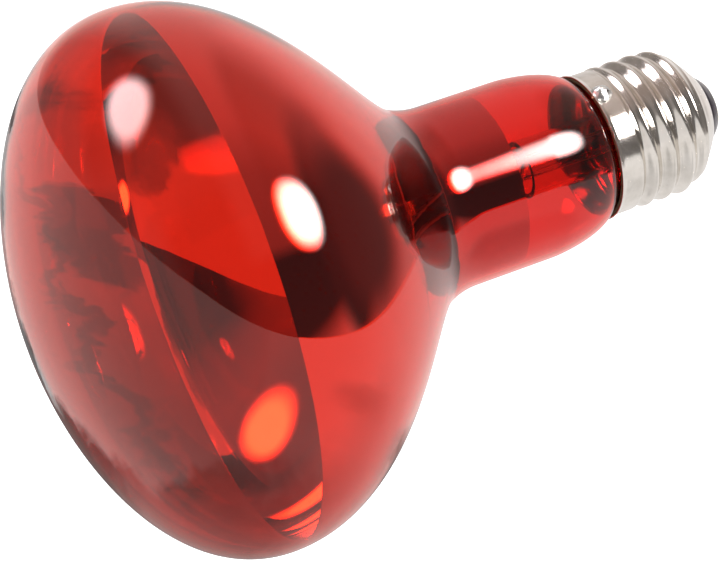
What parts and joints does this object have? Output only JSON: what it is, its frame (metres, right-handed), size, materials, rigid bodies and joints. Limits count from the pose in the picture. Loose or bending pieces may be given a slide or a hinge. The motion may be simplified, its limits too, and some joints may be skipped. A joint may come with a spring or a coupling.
{
  "type": "infrared reflector heat lamp",
  "caption": "Red glass infrared reflector heat lamp with an internal mirror, a ring filament on a glass stem and an Edison screw cap.",
  "frame": {"origin": "centre of the flat tip of solder on the centre contact", "axes": "+Z along the lamp's axis from the cap to the dome; +X towards the solder joint on the cap's rim"},
  "size_m": [0.095, 0.095, 0.1301],
  "materials": {
    "ruby_glass": "gloss, blown, ruby red",
    "mirror_film": "vacuum-coated aluminium",
    "nickel_plate": "bright nickel plate with fine handling marks",
    "black_glass": "opaque black moulded glass, gloss",
    "brass": "stamped, dull",
    "solder": "satin tin solder with a grey bloom",
    "cement": "matt, baked, brown",
    "clear_glass": "gloss, clear",
    "shield_metal": "satin, stamped",
    "nickel_wire": "drawn, satin",
    "copper_wire": "drawn, oxidised",
    "tungsten": "matt grey coil"
  },
  "bodies": {
    "root": {"glass_envelope": "ruby_glass", "reflector_film": "mirror_film", "neck_film": "mirror_film", "cap_shell": "nickel_plate", "cap_insulator": "black_glass", "contact_plate": "brass", "centre_solder": "solder", "side_solder": "solder", "capping_cement": "cement", "stem_flare": "clear_glass", "stem_press": "clear_glass", "exhaust_tube": "clear_glass", "arbor_rod": "clear_glass", "arbor_button": "clear_glass", "heat_shield": "shield_metal", "inner_lead_a": "nickel_wire", "inner_lead_b": "nickel_wire", "seal_wire_a": "copper_wire", "seal_wire_b": "copper_wire", "outer_lead_centre": "copper_wire", "outer_lead_side": "copper_wire", "filament": "tungsten", "filament_support_1": "nickel_wire", "filament_support_2": "nickel_wire", "filament_support_3": "nickel_wire", "filament_support_4": "nickel_wire", "filament_support_5": "nickel_wire"}
  },
  "joints": []
}
